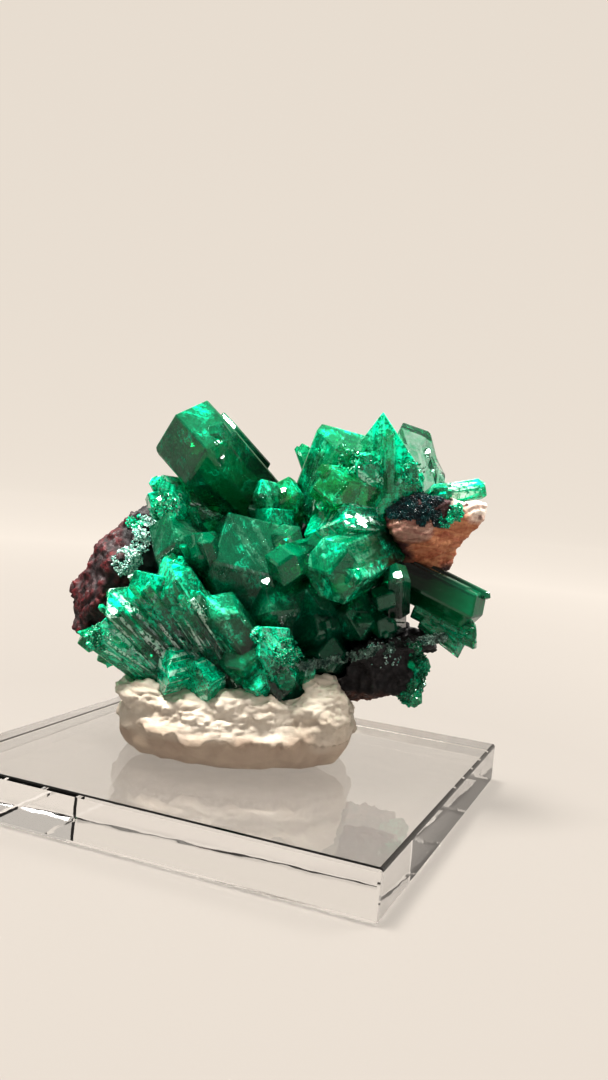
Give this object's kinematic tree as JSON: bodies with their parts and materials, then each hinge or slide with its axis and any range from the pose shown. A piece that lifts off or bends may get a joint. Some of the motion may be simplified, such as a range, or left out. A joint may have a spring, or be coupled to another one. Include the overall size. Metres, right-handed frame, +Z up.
{
  "type": "dioptase crystal specimen on clear base",
  "caption": "Green see-through dioptase crystals on dark rock, held by cream putty on a flat square clear base.",
  "frame": {"origin": "middle of the clear base's underside", "axes": "+Z up, X and Y along the sides of the square base, the specimen's broad side faces -Y turned 21.6 degrees towards +X"},
  "size_m": [0.05, 0.05, 0.0461],
  "materials": {
    "dioptase_deep": "polished, deep emerald green, see-through at thin edges",
    "dioptase_bright": "polished, bright turquoise green, fractured inside",
    "dark_rock": "rough, dark red-brown with grey crusts",
    "pale_rock": "rough, tan and cream with dark pits",
    "putty": "matte, pressed and creased by hand",
    "clear_acrylic": "polished clear"
  },
  "bodies": {
    "root": {"acrylic_base": "clear_acrylic", "mounting_putty": "putty", "matrix_rock": "dark_rock", "pale_ledge": "pale_rock", "large_prism": "dioptase_deep", "crown_crystals": "dioptase_bright", "front_crystals": "dioptase_bright", "upright_pair": "dioptase_deep", "right_prism": "dioptase_deep", "fan_crystals": "dioptase_bright", "saddle_crystals": "dioptase_bright", "shoulder_crystals": "dioptase_bright", "centre_crystals": "dioptase_deep", "lower_middle_crystals": "dioptase_deep", "ledge_crystals": "dioptase_bright", "low_right_crystals": "dioptase_bright", "low_left_crystals": "dioptase_bright", "rear_left_crystals": "dioptase_deep", "rear_right_crystals": "dioptase_bright"}
  },
  "joints": []
}
